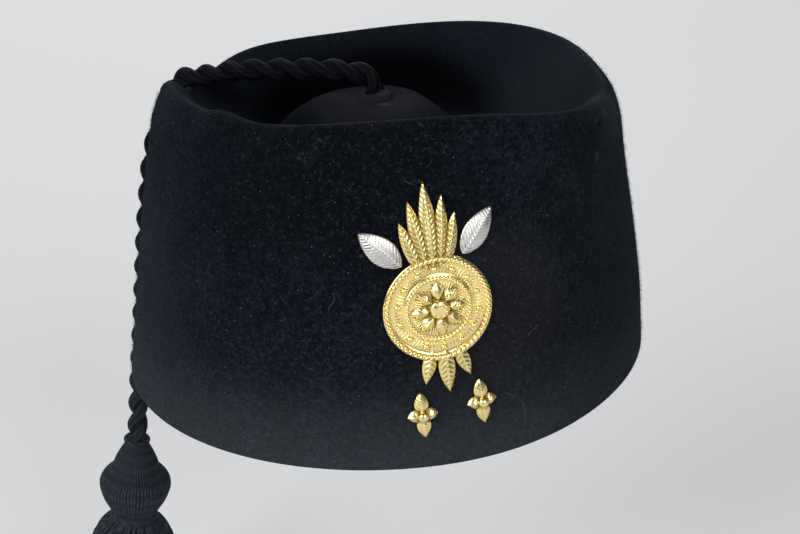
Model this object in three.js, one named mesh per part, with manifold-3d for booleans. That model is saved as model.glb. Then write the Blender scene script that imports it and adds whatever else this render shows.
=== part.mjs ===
// A soft fez: a blocked felt cap with a pushed-in crown, a cord with its tassel, and a pressed metal badge.
// Millimetres, +Z up, the badge at the front towards -Y. The origin is the middle of the head opening.
// Left and right are as seen from the front. Angles round the cap go from the front towards +X, its right.
import * as THREE from "three";
import { mergeVertices } from "three/addons/utils/BufferGeometryUtils.js";
import Module from "manifold-3d";

const wasm = await Module();
wasm.setup();

// Driving dimensions of the felt cap
const FELT_THICKNESS = 2.6;
const FELT_SEGMENTS = 56;
// Outlines in plan: squareness 2 is an ellipse and more has fuller corners, and skew draws one diagonal
// in and the other out.
const HEM = { halfWidth: 90.8, halfLength: 87.2, squareness: 2, skew: 0, x: 0, y: 0 };
const RIM = { halfWidth: 75.8, halfLength: 73.4, squareness: 2.63, skew: -2.9, x: 2.9, y: -2.7 };
const PIT = { halfWidth: 44, halfLength: 42, squareness: 2.2, skew: 0, x: 2, y: 1 };
const MOUND_TOP = new THREE.Vector3(0, 3, 92.2);
const RIM_HEIGHT = 103.2;
const RIM_LIFT = { front: 6.2, side: -3.7, diagonal: -2.7 };
// Where the rim is pressed down, and at the right of the front, with a depth under zero, raised.
const RIM_DIPS = [
  { place: "under the cord", angle: -124, depth: 10.2, spread: 17.2 },
  { place: "front left", angle: -40, depth: 2.4, spread: 18.7 },
  { place: "front right", angle: 14, depth: -1.8, spread: 19.3 },
];
const HEM_RISE = { height: 5.2, fadesOutAt: 60 };
// The wall swells half way up, lower down on the right and higher up on the left.
const WALL_BULGE = 1.5;
const WALL_SWAY = 0.46;
// Shares of the way from the hem to the rim where the wall has a ring of points.
const WALL_RINGS = [0.92, 0.75, 0.5, 0.25, 0];
// Rings of the crown from the mound out to the rim: rim and pit are shares of those outlines, the rest is
// the mound's middle, and x moves a ring to the right. A ring's height is followsRim times the rim's own
// height, plus above.
const CROWN_RINGS = [
  { ring: "mound shoulder", rim: 0, pit: 0.38, x: -3, followsRim: 0, above: 91.8 },
  { ring: "mound side", rim: 0, pit: 0.6, x: -5, followsRim: 0, above: 86 },
  { ring: "pit floor", rim: 0, pit: 0.9, x: -4, followsRim: 0, above: 74 },
  { ring: "inner foot", rim: 0.17, pit: 0.83, x: 0, followsRim: 0.15, above: 61 },
  { ring: "inner wall", rim: 0.5, pit: 0.5, x: 0, followsRim: 0.6, above: 27 },
  { ring: "fold inside", rim: 0.76, pit: 0.24, x: 0, followsRim: 1, above: -2.6 },
  { ring: "fold crest", rim: 0.87, pit: 0.13, x: 0, followsRim: 1, above: 0 },
  { ring: "fold outside", rim: 0.955, pit: 0.045, x: 0, followsRim: 1, above: -1.8 },
];

// Driving dimensions of the cord, its knot and the tassel
const SEAT_GAP = 0.3;
const CORD = { diameter: 7.5, sides: 10, steps: 34 };
// The low knot that covers the cord's seat, from its foot to its top.
const KNOT_SEGMENTS = 20;
const KNOT_SIDE = [
  { radius: 5.4, height: 0 },
  { radius: 6, height: 0.8 },
  { radius: 4.5, height: 2.1 },
  { radius: 0, height: 2.6 },
];
// The cord's middle line: out of the knot, across to the rim, over it, down the outside and past the hem.
const CORD_ROUTE = [
  [-0.4, 3.1, 95.7],
  [-0.8, 3.2, 97.8],
  [-2.6, 3.7, 100],
  [-5.8, 4.8, 101.4],
  [-10.2, 6.7, 101.9],
  [-15.4, 9.2, 102],
  [-21, 11.8, 101.9],
  [-28, 15.3, 101.5],
  [-35, 19.2, 100.9],
  [-42, 23.8, 99.8],
  [-48.6, 28.8, 98.2],
  [-54, 33.6, 96.2],
  [-58, 37.4, 95.1],
  [-61.4, 40, 93.5],
  [-64.4, 41.6, 90.5],
  [-66.6, 42.7, 86.3],
  [-68.2, 43, 82],
  [-70.4, 42, 77],
  [-73, 40.6, 70.6],
  [-75.2, 40.2, 61.6],
  [-77, 40.7, 50.6],
  [-79, 41.6, 36.8],
  [-80.9, 42.8, 20.6],
  [-82.7, 44.3, 5],
  [-84.6, 45.7, -10.5],
  [-86.3, 46.6, -24],
  [-87.9, 47.1, -37],
  [-89.5, 47.6, -50.2],
];
const TASSEL = { coreSegments: 20, locks: 15, lockRadius: 3.9, lockSides: 6, lockSteps: 4, trimStep: 1.3 };
// The way that it hangs: on in line with the cord, which the flare of the wall holds out.
const TASSEL_HANG = new THREE.Vector3(-0.12, 0.035, -1).normalize();
// The tassel's head and the core behind its locks: radius at each depth below the tassel's top.
const TASSEL_CORE = [
  { radius: 4.4, depth: 0 },
  { radius: 5.6, depth: 3 },
  { radius: 8.2, depth: 9 },
  { radius: 10, depth: 13.5 },
  { radius: 12.9, depth: 16.5 },
  { radius: 13.7, depth: 19.3 },
  { radius: 12.8, depth: 24 },
  { radius: 10.6, depth: 28.5 },
  { radius: 8.9, depth: 32.6 },
  { radius: 9.2, depth: 35.2 },
  { radius: 12.3, depth: 42 },
  { radius: 14.4, depth: 56 },
  { radius: 14.8, depth: 93 },
];
// Where a lock's middle line runs.
const LOCK_LINE = [
  { radius: 6.2, depth: 35.5 },
  { radius: 9.4, depth: 40.3 },
  { radius: 12.3, depth: 46 },
  { radius: 14.9, depth: 63 },
  { radius: 15.8, depth: 97 },
];

// Driving dimensions of the badge, flat, before it is bent to the wall: across, up, and out from its back.
// Scale sizes the whole badge in its plane.
const BADGE = { angle: -0.9, height: 53.3, lean: 6.5, seat: 0.35, scale: 1.06 };
const BOSS_SEGMENTS = 30;
// The round boss: radius and relief of its front, from the edge to the middle.
const BOSS_FRONT = [
  { radius: 16.3, relief: 0.5 },
  { radius: 16, relief: 1.5 },
  { radius: 15.1, relief: 2 },
  { radius: 14.2, relief: 1.5 },
  { radius: 13.7, relief: 0.9 },
  { radius: 10.4, relief: 0.9 },
  { radius: 9.9, relief: 1.5 },
  { radius: 9.2, relief: 1.8 },
  { radius: 8.5, relief: 1.4 },
  { radius: 3.2, relief: 1.5 },
  { radius: 2.7, relief: 2.6 },
  { radius: 1.5, relief: 3.2 },
];
const BOSS_BACK_RADII = [16, 11, 5.5];
const PELLETS = { count: 14, ringRadius: 12.05, radius: 1.2, seat: 1.5 };
const PETALS = { count: 8, from: 2.2, length: 6.3, width: 4, relief: 2.3 };
// Leaves of the plate: turn is degrees from straight up, and from is where the leaf starts on the boss.
const FAN_LEAVES = [
  { turn: 0, from: 11, length: 27.5, width: 5.6, relief: 2.4 },
  { turn: 9, from: 11.5, length: 22.5, width: 4.8, relief: 2.1 },
  { turn: -9, from: 11.5, length: 22.5, width: 4.8, relief: 2.1 },
  { turn: 17.5, from: 12, length: 17, width: 4.4, relief: 1.8 },
  { turn: -17.5, from: 12, length: 17, width: 4.4, relief: 1.8 },
  { turn: 180, from: 12, length: 15, width: 5, relief: 2.2 },
  { turn: 164, from: 12.5, length: 11.5, width: 4.2, relief: 1.8 },
  { turn: -164, from: 12.5, length: 11.5, width: 4.2, relief: 1.8 },
];
const SILVER_LEAF = { across: 9.2, up: 14.5, turn: 43, length: 16.5, width: 7.8, relief: 2.2 };
const STUD = { across: 8.7, up: -32.5, button: 1.7 };
const STUD_LEAVES = [
  { turn: 0, length: 7.5, width: 4.2, relief: 1.9 },
  { turn: 90, length: 4.6, width: 4.2, relief: 1.9 },
  { turn: 180, length: 7.5, width: 4.2, relief: 1.9 },
  { turn: 270, length: 4.6, width: 4.2, relief: 1.9 },
];
// A leaf's form: widestAt and fullness shape its outline, endRidge is what is left of its ridge at the
// ends, and shoulder is where its section bends, as a share of both the half width and the ridge.
const LEAF_FORM = { stations: 6, widestAt: 0.85, fullness: 0.8, endRidge: 0.35, shoulder: 0.62 };

// Finishes
const FELT = new THREE.MeshStandardMaterial({ color: 0x14161c, roughness: 0.96, metalness: 0 });
const SILK = new THREE.MeshStandardMaterial({ color: 0x19151b, roughness: 0.6, metalness: 0 });
const GILT = new THREE.MeshStandardMaterial({ color: 0xc79a3b, roughness: 0.3, metalness: 1 });
const SILVER = new THREE.MeshStandardMaterial({ color: 0xc9c9cc, roughness: 0.3, metalness: 1 });

const radians = THREE.MathUtils.degToRad;

// A closed surface through rings of points with one point at each end. Seen from outside the first end,
// rings run anticlockwise.
function closedLoft(first, rings, last) {
  const sides = rings[0].length;
  const points = [first, ...rings.flat(), last];
  const lastRing = 1 + (rings.length - 1) * sides;
  const index = [];
  for (let side = 0; side < sides; side++) {
    const next = (side + 1) % sides;
    index.push(0, 1 + side, 1 + next);
    for (let ring = 0; ring + 1 < rings.length; ring++) {
      const here = 1 + ring * sides;
      const beyond = here + sides;
      index.push(here + side, beyond + side, here + next);
      index.push(here + next, beyond + side, beyond + next);
    }
    index.push(points.length - 1, lastRing + next, lastRing + side);
  }
  const geometry = new THREE.BufferGeometry().setFromPoints(points);
  geometry.setIndex(index);
  return geometry;
}

function solidOf(geometry) {
  const bare = geometry.clone();
  bare.deleteAttribute("normal");
  bare.deleteAttribute("uv");
  const merged = mergeVertices(bare, 1e-4);
  const vertProperties = merged.attributes.position.array;
  const triVerts = new Uint32Array(merged.index.array);
  return new wasm.Manifold(new wasm.Mesh({ numProp: 3, vertProperties, triVerts }));
}

// Joins closed geometries into one.
function fused(geometries) {
  const mesh = geometries
    .map(solidOf)
    .reduce((whole, piece) => whole.add(piece))
    .getMesh();
  const geometry = new THREE.BufferGeometry();
  geometry.setAttribute("position", new THREE.BufferAttribute(mesh.vertProperties, mesh.numProp));
  geometry.setIndex(new THREE.BufferAttribute(mesh.triVerts, 1));
  return geometry;
}

function polygon(radius, sides) {
  const turn = (2 * Math.PI) / sides;
  const corner = (_, i) => new THREE.Vector2(radius * Math.cos(i * turn), radius * Math.sin(i * turn));
  return new THREE.Shape(Array.from({ length: sides }, corner));
}

// A solid of revolution about +Z from a profile of [radius, height] that starts and ends on the axis.
function turned(profile, segments) {
  const points = profile.map(([radius, height]) => new THREE.Vector2(radius, height));
  return new THREE.LatheGeometry(points, segments).rotateX(Math.PI / 2);
}

// The felt cap
function outlinePoint(outline, angle) {
  const sine = Math.sin(angle);
  const cosine = Math.cos(angle);
  const power = outline.squareness;
  const fullness = (Math.abs(sine) ** power + Math.abs(cosine) ** power) ** (-1 / power);
  const drawn = outline.skew * Math.sin(2 * angle);
  return new THREE.Vector2(
    outline.x + (outline.halfWidth * fullness + drawn) * sine,
    outline.y - (outline.halfLength * fullness + drawn) * cosine,
  );
}

function rimHeight(angle) {
  const tilt = RIM_LIFT.front * Math.cos(angle) + RIM_LIFT.side * Math.sin(angle);
  let height = RIM_HEIGHT + tilt + RIM_LIFT.diagonal * Math.sin(2 * angle);
  for (const dip of RIM_DIPS) {
    const past = angle - radians(dip.angle);
    const off = Math.atan2(Math.sin(past), Math.cos(past));
    height -= dip.depth * Math.exp(-((off / radians(dip.spread)) ** 2));
  }
  return height;
}

// A point on the outside of the wall, share of the way from the hem to the rim.
function wallPoint(angle, share) {
  const outward = new THREE.Vector2(Math.sin(angle), -Math.cos(angle));
  const sway = WALL_SWAY * Math.sin(2 * Math.PI * share) * Math.sin(angle);
  const plan = outlinePoint(HEM, angle)
    .lerp(outlinePoint(RIM, angle), share)
    .addScaledVector(outward, WALL_BULGE * Math.sin(Math.PI * share) + sway);
  const height = share * rimHeight(angle);
  const riding = Math.max(0, 1 - height / HEM_RISE.fadesOutAt) * Math.max(0, Math.sin(angle)) ** 2;
  return new THREE.Vector3(plan.x, plan.y, height + HEM_RISE.height * riding);
}

function crownPoint(angle, { rim, pit, x, followsRim, above }) {
  const plan = new THREE.Vector2(MOUND_TOP.x, MOUND_TOP.y)
    .multiplyScalar(1 - rim - pit)
    .addScaledVector(outlinePoint(RIM, angle), rim)
    .addScaledVector(outlinePoint(PIT, angle), pit);
  return new THREE.Vector3(plan.x + x, plan.y, followsRim * rimHeight(angle) + above);
}

// The outside of the felt at one angle, from the mound to the hem, with a point between crown rings.
function feltLine(angle) {
  const crown = CROWN_RINGS.map((ring) => crownPoint(angle, ring));
  const wall = WALL_RINGS.map((share) => wallPoint(angle, share));
  const knots = [MOUND_TOP, ...crown, ...wall];
  const curve = new THREE.CatmullRomCurve3(knots);
  const between = (i) => curve.getPoint((i + 0.5) / (knots.length - 1));
  const line = [];
  for (let i = 1; i < knots.length; i++) {
    line.push(knots[i]);
    if (i <= crown.length) {
      line.push(between(i));
    }
  }
  return line;
}

function feltBody() {
  const angles = Array.from({ length: FELT_SEGMENTS }, (_, i) => (i * 2 * Math.PI) / FELT_SEGMENTS);
  const lines = angles.map(feltLine);
  const outside = lines[0].map((_, ring) => lines.map((line) => line[ring]));
  const hemRing = outside.length - 1;
  const inside = outside.map((ring, r) =>
    ring.map((point, s) => {
      const round = ring.at((s + 1) % ring.length).clone().sub(ring.at(s - 1));
      const before = r === 0 ? MOUND_TOP : outside[r - 1][s];
      const down = outside[Math.min(r + 1, hemRing)][s].clone().sub(before);
      const outward = down.cross(round);
      if (r === hemRing) {
        outward.z = 0;
      }
      return point.clone().addScaledVector(outward.normalize(), -FELT_THICKNESS);
    }),
  );
  const underMound = MOUND_TOP.clone().setZ(MOUND_TOP.z - FELT_THICKNESS);
  return closedLoft(MOUND_TOP, [...outside, ...inside.reverse()], underMound);
}

// The knot, cord and tassel
function crownKnot() {
  const side = KNOT_SIDE.map(({ radius, height }) => [radius, height]);
  const knot = turned([[0, 0], ...side], KNOT_SEGMENTS);
  return knot.translate(MOUND_TOP.x, MOUND_TOP.y, MOUND_TOP.z + SEAT_GAP);
}

function tasselCord() {
  const extrudePath = new THREE.CatmullRomCurve3(CORD_ROUTE.map((point) => new THREE.Vector3(...point)));
  const section = polygon(CORD.diameter / 2, CORD.sides);
  return new THREE.ExtrudeGeometry(section, { steps: CORD.steps, extrudePath });
}

function tassel() {
  const core = TASSEL_CORE.map(({ radius, depth }) => [radius, -depth]);
  const ends = [[0, core.at(-1)[1]], [0, core[0][1]]];
  const pieces = [turned([ends[0], ...core.toReversed(), ends[1]], TASSEL.coreSegments)];
  const section = polygon(TASSEL.lockRadius, TASSEL.lockSides);
  const lowest = LOCK_LINE.at(-1).depth;
  for (let lock = 0; lock < TASSEL.locks; lock++) {
    const turn = (lock * 2 * Math.PI) / TASSEL.locks;
    const trimmed = 1 - (TASSEL.trimStep * ((lock * 3) % 5)) / lowest;
    const line = LOCK_LINE.map(({ radius, depth }) => {
      const hang = depth < lowest ? depth : depth * trimmed;
      return new THREE.Vector3(radius * Math.cos(turn), radius * Math.sin(turn), -hang);
    });
    const extrudePath = new THREE.CatmullRomCurve3(line);
    pieces.push(new THREE.ExtrudeGeometry(section, { steps: TASSEL.lockSteps, extrudePath }));
  }
  const lean = new THREE.Quaternion().setFromUnitVectors(new THREE.Vector3(0, 0, -1), TASSEL_HANG);
  const top = new THREE.Vector3(...CORD_ROUTE.at(-1)).addScaledVector(TASSEL_HANG, SEAT_GAP);
  return fused(pieces).applyQuaternion(lean).translate(...top);
}

// The badge, made flat as across, up and out, then bent to the wall
function bentToWall(geometry) {
  const angle = radians(BADGE.angle);
  const share = BADGE.height / rimHeight(angle);
  const step = 1e-3;
  const middle = wallPoint(angle, share);
  const acrossPerAngle = wallPoint(angle + step, share).distanceTo(middle) / step;
  const upPerShare = wallPoint(angle, share + step).distanceTo(middle) / step;
  const place = geometry.getAttribute("position");
  const lean = radians(BADGE.lean);
  for (let i = 0; i < place.count; i++) {
    const flat = new THREE.Vector2(place.getX(i), place.getY(i))
      .rotateAround(new THREE.Vector2(), lean)
      .multiplyScalar(BADGE.scale);
    const here = [angle + flat.x / acrossPerAngle, share + flat.y / upPerShare];
    const point = wallPoint(...here);
    const across = wallPoint(here[0] + step, here[1]).sub(point);
    const up = wallPoint(here[0], here[1] + step).sub(point);
    point.addScaledVector(across.cross(up).normalize(), place.getZ(i) + BADGE.seat);
    place.setXYZ(i, point.x, point.y, point.z);
  }
  return geometry;
}

// A leaf with a flat back and a ridge along its front, growing along +Y from the origin.
function leaf({ length, width, relief }) {
  const { widestAt, fullness, endRidge, shoulder } = LEAF_FORM;
  const stations = [];
  for (let i = 1; i < LEAF_FORM.stations; i++) {
    const along = i / LEAF_FORM.stations;
    const swell = Math.sin(Math.PI * along ** widestAt) ** fullness;
    const half = (width / 2) * swell;
    const ridge = relief * (endRidge + (1 - endRidge) * swell);
    const bend = [shoulder * half, shoulder * ridge];
    const section = [[half, 0], bend, [0, ridge], [-bend[0], bend[1]], [-half, 0]];
    stations.push(section.map(([across, out]) => new THREE.Vector3(across, along * length, out)));
  }
  return closedLoft(new THREE.Vector3(), stations, new THREE.Vector3(0, length, 0));
}

function leafAt({ turn, from, ...size }) {
  return leaf(size).translate(0, from, 0).rotateZ(radians(-turn));
}

function boss() {
  const back = BOSS_BACK_RADII.map((radius) => [radius, 0]);
  const front = BOSS_FRONT.map(({ radius, relief }) => [radius, relief]);
  const summit = [0, front.at(-1)[1]];
  return turned([[0, 0], ...back.reverse(), ...front, summit], BOSS_SEGMENTS);
}

function badgePlate() {
  const pieces = [boss(), ...FAN_LEAVES.map(leafAt)];
  for (let i = 0; i < PELLETS.count; i++) {
    const turn = ((i + 0.5) * 2 * Math.PI) / PELLETS.count;
    const pellet = new THREE.SphereGeometry(PELLETS.radius, 6, 4).rotateX(Math.PI / 2);
    const reach = PELLETS.ringRadius;
    pieces.push(pellet.translate(reach * Math.sin(turn), reach * Math.cos(turn), PELLETS.seat));
  }
  for (let i = 0; i < PETALS.count; i++) {
    pieces.push(leafAt({ ...PETALS, turn: (i * 360) / PETALS.count }));
  }
  return fused(pieces.map(bentToWall));
}

function silverLeaf(side) {
  const { across, up, turn } = SILVER_LEAF;
  return bentToWall(leafAt({ ...SILVER_LEAF, from: 0, turn: side * turn }).translate(side * across, up, 0));
}

function badgeStud(side) {
  const { across, up, button } = STUD;
  const pieces = STUD_LEAVES.map((size) => leafAt({ ...size, from: 0 }));
  pieces.push(new THREE.SphereGeometry(button, 8, 5).rotateX(Math.PI / 2).translate(0, 0, button));
  return fused(pieces.map((piece) => bentToWall(piece.translate(side * across, up, 0))));
}

const fez = new THREE.Group();
fez.name = "fez";

function addPiece(name, geometry, material) {
  const mesh = new THREE.Mesh(geometry, material);
  mesh.name = name;
  fez.add(mesh);
}

addPiece("felt_body", feltBody(), FELT);
addPiece("crown_knot", crownKnot(), SILK);
addPiece("tassel_cord", tasselCord(), SILK);
addPiece("tassel", tassel(), SILK);
addPiece("badge_plate", badgePlate(), GILT);
for (const [word, side] of [["left", -1], ["right", 1]]) {
  addPiece("badge_leaf_" + word, silverLeaf(side), SILVER);
  addPiece("badge_stud_" + word, badgeStud(side), GILT);
}

export default fez;
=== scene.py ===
"""The looks of a soft felt fez: napped felt, a two-ply silk cord with its tassel, and a pressed metal badge.

Metres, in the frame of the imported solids: +Z up, the badge at the front towards -Y, and the origin in the
middle of the head opening. Angles round the cap go from the front towards +X.
"""
import math
from collections import namedtuple

import bmesh
import bpy
import numpy as np
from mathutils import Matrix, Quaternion, Vector


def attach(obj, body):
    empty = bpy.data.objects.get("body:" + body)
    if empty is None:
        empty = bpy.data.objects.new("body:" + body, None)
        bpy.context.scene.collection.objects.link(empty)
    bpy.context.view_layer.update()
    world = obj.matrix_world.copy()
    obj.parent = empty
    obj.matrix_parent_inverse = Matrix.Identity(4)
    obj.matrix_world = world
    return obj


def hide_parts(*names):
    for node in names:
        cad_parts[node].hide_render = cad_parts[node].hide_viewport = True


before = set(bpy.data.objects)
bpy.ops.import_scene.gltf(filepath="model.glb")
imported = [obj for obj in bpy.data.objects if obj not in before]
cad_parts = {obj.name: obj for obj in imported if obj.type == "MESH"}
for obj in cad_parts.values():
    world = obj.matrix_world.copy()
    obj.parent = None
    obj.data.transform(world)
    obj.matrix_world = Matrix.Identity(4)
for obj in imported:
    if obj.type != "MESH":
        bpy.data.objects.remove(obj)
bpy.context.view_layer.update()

# The view and the studio
CAMERA = {"place": (-0.114, -0.577, 0.2949), "aim": (0.0059, 0, 0.0299), "roll": -1.94, "lens": 82.51}
FLOOR = {"height": -0.152, "half_size": 6, "roughness": 0.8, "clouds": 1.5}
FLOOR_TONES = {"dull": (0.78, 0.78, 0.79, 1), "bright": (0.82, 0.82, 0.825, 1)}
AIR = {"colour": (0.9, 0.93, 0.97, 1), "strength": 0.2}
Softbox = namedtuple("Softbox", "name place aim side power")
SOFTBOXES = (
    Softbox("left_softbox", (-1.5, -0.9, 1.0), (0, 0, 0.05), 1.4, 29.0),
    Softbox("front_softbox", (0.7, -1.9, 1.1), (0, 0, 0.05), 1.2, 22.0),
    Softbox("back_softbox", (0.3, 2.2, 1.8), (0, 0.6, -0.15), 2.0, 38.0),
)

# The felt cap, as the solids have it
FELT_THICKNESS = 0.0026
FELT_COLUMNS = 300
Outline = namedtuple("Outline", "half_width half_length squareness skew x y")
HEM = Outline(0.0908, 0.0872, 2, 0, 0, 0)
RIM = Outline(0.0758, 0.0734, 2.63, -0.0029, 0.0029, -0.0027)
PIT = Outline(0.044, 0.042, 2.2, 0, 0.002, 0.001)
MOUND_TOP = np.array([0, 0.003, 0.0922])
RIM_HEIGHT = 0.1032
RIM_LIFT = {"front": 0.0062, "side": -0.0037, "diagonal": -0.0027}
Dip = namedtuple("Dip", "name angle depth spread")
RIM_DIPS = (
    Dip("under the cord", -124, 0.0102, 17.2),
    Dip("front left", -40, 0.0024, 18.7),
    Dip("front right", 14, -0.0018, 19.3),
)
HEM_RISE = {"height": 0.0052, "fades_out_at": 0.06}
WALL_BULGE = 0.0015
WALL_SWAY = 0.00046
WALL_RINGS = (0.92, 0.75, 0.5, 0.25, 0)
CrownRing = namedtuple("CrownRing", "name rim pit x follows_rim above")
CROWN_RINGS = (
    CrownRing("mound shoulder", 0, 0.38, -0.003, 0, 0.0918),
    CrownRing("mound side", 0, 0.6, -0.005, 0, 0.086),
    CrownRing("pit floor", 0, 0.9, -0.004, 0, 0.074),
    CrownRing("inner foot", 0.17, 0.83, 0, 0.15, 0.061),
    CrownRing("inner wall", 0.5, 0.5, 0, 0.6, 0.027),
    CrownRing("fold inside", 0.76, 0.24, 0, 1, -0.0026),
    CrownRing("fold crest", 0.87, 0.13, 0, 1, 0),
    CrownRing("fold outside", 0.955, 0.045, 0, 1, -0.0018),
)
# Rings of the fine mesh in each span between those rings, from the mound's top to the hem.
CROWN_STEPS = (6, 5, 5, 5, 6, 6, 5, 4)
WALL_STEPS = (5, 8, 12, 12, 12)
# The rounded cut of the hem: how far in each of its rings is, and its share of the full drop.
HEM_ROUND = 0.0007
CutRing = namedtuple("CutRing", "inwards drop")
HEM_CUT = (CutRing(0.12, 0.6), CutRing(0.5, 1), CutRing(0.88, 0.6))
# The ring of the fine mesh along the top of the fold, and how many rings to each side are worn pale, with
# painted sheen along it.
FOLD_CREST = sum(CROWN_STEPS[:7]) - 1
WORN_AND_SHEEN_REACH = 0.8
# Soft hollows and swells of the worn felt: depth is into the felt, so a swell is less than nothing.
Dent = namedtuple("Dent", "x y z reach depth")
DENTS = (
    Dent(-0.0586, -0.0520, 0.1105, 0.0080, -0.0016),
    Dent(-0.0628, -0.0455, 0.1108, 0.0050, 0.0008),
    Dent(0.0603, -0.0560, 0.0966, 0.0024, 0.0012),
    Dent(0.0622, -0.0525, 0.0990, 0.0024, -0.0007),
    Dent(0.0662, -0.0490, 0.0985, 0.0065, -0.0012),
    Dent(-0.0588, 0.0385, 0.0900, 0.0055, -0.0015),
    Dent(-0.052, -0.060, 0.070, 0.026, 0.0010),
    Dent(0.050, -0.070, 0.030, 0.026, 0.0008),
    Dent(0.030, 0.070, 0.060, 0.032, 0.0012),
    Dent(-0.040, 0.068, 0.050, 0.028, 0.0010),
    Dent(0.078, 0.020, 0.055, 0.026, 0.0010),
    Dent(0.030, 0.030, 0.080, 0.012, -0.0012),
    Dent(-0.030, -0.020, 0.080, 0.012, 0.0012),
)
# The felt's tones, those of the nap that stands off it, and those of its fold's crest, worn and with painted
# sheen, and of its lint
FELT_TONES = {
    "Dark": (0.0027, 0.0035, 0.0054, 1),
    "Light": (0.0125, 0.0164, 0.0230, 1),
    "Stray": (0.0280, 0.0340, 0.0430, 1),
}
NAP_TONES = {
    "Dark": (0.0035, 0.0047, 0.0071, 1),
    "Light": (0.0240, 0.0310, 0.0430, 1),
    "Stray": (0.0430, 0.0510, 0.0630, 1),
}
WORN_AND_SHEEN_TONE = (0.0190, 0.0222, 0.0266, 1)
LINT_TONES = {"dull": (0.06, 0.065, 0.075, 1), "pale": (0.26, 0.27, 0.28, 1)}
FELT_FINISH = {
    "Roughness": 0.95, "Specular IOR Level": 0.03,
    "Sheen Weight": 0.025, "Sheen Roughness": 0.42, "Sheen Tint": (0.5, 0.68, 0.95, 1),
}
NAP_FINISH = {
    "Roughness": 0.9, "Specular IOR Level": 0.05,
    "Sheen Weight": 0.03, "Sheen Roughness": 0.4, "Sheen Tint": (0.5, 0.68, 0.95, 1),
}
LINT_FINISH = {"Roughness": 0.9, "Specular IOR Level": 0.2}
FELT_BUMP = {"strength": 0.55, "distance": 0.0006}
# How many clouds, tufts and fibres of the wool go to a metre, and the range of their sum from dark to light,
# which is wider in the crown. Then the same for the spots along the fold's crest, worn and with painted
# sheen, and the tints of the lint.
WOOL = {"clouds": 60, "tufts": 700, "fibres": 2300, "dark": 0.42, "light": 0.66, "wider": 0.2}
WORN_AND_SHEEN_SPOTS = {"broad": 110, "fine": 500, "none": 0.38, "full": 0.62}
LINT_TINTS = 300
# Painted shade in the crown's dent, near black: full as far as near from its middle in plan and up to low,
# and gone at far and at high.
PAINTED_GROOVE_SHADE = {
    "middle": (0.004, 0.024, 0), "near": 0.038, "far": 0.053, "low": 0.085, "high": 0.0985,
    "share": 0.985, "tone": (0.0002, 0.0002, 0.0004, 1),
}
# Patches of painted light and shade, and of dust and wear on the mound: each patch is full as far as near
# from its middle and gone at far.
Patch = namedtuple("Patch", "name middle near far share colour")
PAINTED_LIGHT_SHADE_AND_DUST = (
    # Dust and wear on the mound, with painted light from above.
    Patch("dust on the mound", (-0.001, -0.0075, 0.092), 0.008, 0.030, 0.82, (0.0138, 0.0129, 0.0153)),
    # Painted highlight on the felt by the knot.
    Patch("spot of dust", (0.0012, -0.0044, 0.0925), 0.0006, 0.0034, 0.55, (0.0520, 0.0500, 0.0550)),
    # Painted shade left of the dent.
    Patch("left of the dent", (-0.050, 0.0405, 0.0855), 0.004, 0.018, 0.65, (0.0008, 0.0010, 0.0016)),
    # Painted light on the dent's right wall.
    Patch("right of the dent", (0.062, 0.012, 0.088), 0.010, 0.036, 0.28, (0.0200, 0.0240, 0.0300)),
    # Painted shade high at the front.
    Patch("high at the front", (-0.028, -0.072, 0.100), 0.024, 0.066, 0.55, (0.0016, 0.0022, 0.0034)),
    # Painted highlight on the wrinkle at the right corner.
    Patch("right corner", (0.0660, -0.0470, 0.0985), 0.004, 0.016, 0.38, (0.0340, 0.0405, 0.0440)),
    # Painted shade on the right side.
    Patch("right side", (0.078, -0.035, 0.050), 0.030, 0.080, 0.42, (0.0066, 0.0090, 0.0096)),
    # Painted light on the left side.
    Patch("left side", (-0.087, -0.015, 0.045), 0.010, 0.050, 0.32, (0.0260, 0.0320, 0.0410)),
    # Painted warm light round the badge.
    Patch("round the badge", (0.016, -0.083, 0.050), 0.016, 0.037, 0.42, (0.0205, 0.0190, 0.0185)),
    # Painted shadow in the crease.
    Patch("crease", (0.0606, -0.0557, 0.0969), 0.0005, 0.0021, 0.92, (0.0006, 0.0008, 0.0012)),
    # Painted highlights on the lip of the crease, on the streak below it and at its foot.
    Patch("lip of the crease", (0.0622, -0.0525, 0.0990), 0.0004, 0.0022, 0.70, (0.0340, 0.0400, 0.0440)),
    Patch("streak below", (0.0580, -0.0603, 0.0877), 0.0004, 0.0024, 0.45, (0.0300, 0.0350, 0.0380)),
    Patch("foot of the lip", (0.0598, -0.0562, 0.0982), 0.0003, 0.0015, 0.65, (0.0320, 0.0380, 0.0420)),
)
# Painted light on the felt towards the hem, from one height down to the other: by share all round, and by
# more from right to left. It is painted in part evenly and in part by the felt's mottle.
PAINTED_HEM_LIGHT = {
    "from": 0.039, "to": -0.004, "share": 0.22, "more_on_left": 0.48, "left": 0.015, "right": 0.085,
    "even": 0.8, "mottled": 0.55, "tone": (0.042, 0.048, 0.056, 1),
}
# Stray fibres of the felt's surface are lines, broken in pieces, with most of them towards the front.
STRAYS = {
    "lines": 780, "curl": 1.2, "thick": 0.034, "thin": 0.006, "breaks": 560, "gap": 0.51, "piece": 0.63,
    "everywhere": 0.3, "side": -0.055, "front": -0.080,
}
# A fibre of the nap: its root's corners, in radians, and how far its tip bows, as a share of its length.
NAP_FIBRE = {"length": 0.0011, "radius": 0.00004, "corners": (0, 2.1, 4.2), "bow": 0.25}
# What is strewn on the felt: how many to a square metre, how far they lean and how their sizes differ.
WALL_NAP = {"density": 0.8e6, "lean": 1.1, "smallest": 0.5, "largest": 1.5, "seed": 31}
CROWN_NAP = {**WALL_NAP, "density": 0.3e6, "seed": 32}
FLECKS = {"density": 0.022e6, "lean": 0.6, "smallest": 0.5, "largest": 1.8, "seed": 33}
FLECK_WIDTH = 0.00013
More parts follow.
